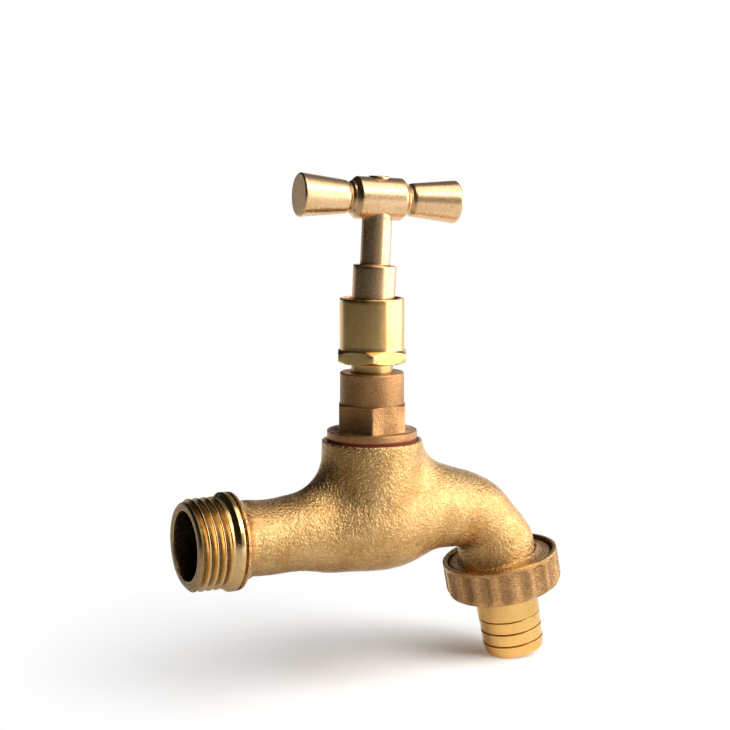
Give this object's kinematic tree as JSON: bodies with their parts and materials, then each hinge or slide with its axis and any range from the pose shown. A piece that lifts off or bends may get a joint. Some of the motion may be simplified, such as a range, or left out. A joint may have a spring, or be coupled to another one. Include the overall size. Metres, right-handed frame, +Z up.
{
  "type": "lockable bibcock",
  "caption": "Brass screw-down bib tap with a loose T key that drops into a tall lock shroud, a swan-neck spout and a hose union.",
  "frame": {"origin": "on the inlet axis, where the full inlet thread starts, 1 mm behind the inlet's end face", "axes": "+X from the inlet to the spout, +Z up along the spindle, +Y away from the picture's camera side"},
  "size_m": [0.0976, 0.0284, 0.1196],
  "materials": {
    "cast_brass": "sand cast, satin",
    "headwork_brass": "fine cast, matt",
    "turned_brass": "turned, bright",
    "key_brass": "turned, satin",
    "nut_brass": "cast, dull",
    "tail_brass": "turned, satin",
    "red_fibre": "matt",
    "black_rubber": "matt",
    "graphite_packing": "matt"
  },
  "bodies": {
    "tap": {"body": "cast_brass", "body_gasket": "red_fibre", "headwork": "headwork_brass", "packing_ring_lower": "graphite_packing", "packing_ring_middle": "graphite_packing", "packing_ring_upper": "graphite_packing", "packing_follower": "turned_brass", "lock_shroud": "turned_brass"},
    "valve": {"jumper_valve": "turned_brass", "tap_washer": "black_rubber", "washer_nut": "turned_brass"},
    "spindle": {"spindle": "turned_brass"},
    "key": {"key_stem": "key_brass", "key_crossbar": "key_brass"},
    "hose_seal": {"hose_washer": "black_rubber"},
    "union_nut": {"union_nut": "nut_brass"},
    "hose_tail": {"hose_tail": "tail_brass"}
  },
  "joints": [
    {"name": "valve_lift", "type": "slide", "parent": "tap", "child": "valve", "axis": [0, 0, 1], "range_m": [0, 0.00438]},
    {"name": "spindle_turn", "type": "hinge", "parent": "valve", "child": "spindle", "pos_m": [0.046, 0, 0.03], "axis": [0, 0, 1], "range_deg": [0, 900]},
    {"name": "key_lift", "type": "slide", "parent": "spindle", "child": "key", "axis": [0.0504, -0.0044, 0.9987], "range_m": [0, 0.022]},
    {"name": "union_travel", "type": "slide", "parent": "tap", "child": "hose_seal", "axis": [0.1925, 0, -0.9813], "range_m": [0, 0.00544]},
    {"name": "union_nut_turn", "type": "hinge", "parent": "hose_seal", "child": "union_nut", "pos_m": [0.08164, 0, -0.01185], "axis": [0.1925, 0, -0.9813], "range_deg": [0, 1080]},
    {"name": "hose_tail_swivel", "type": "hinge", "parent": "hose_seal", "child": "hose_tail", "pos_m": [0.08381, 0, -0.02294], "axis": [0.1925, 0, -0.9813], "continuous": true}
  ],
  "couplings": [
    {"joint": "spindle_turn", "follows": "valve_lift", "rad_per_m": 3590.4},
    {"joint": "union_nut_turn", "follows": "union_travel", "rad_per_m": 3463.7}
  ]
}
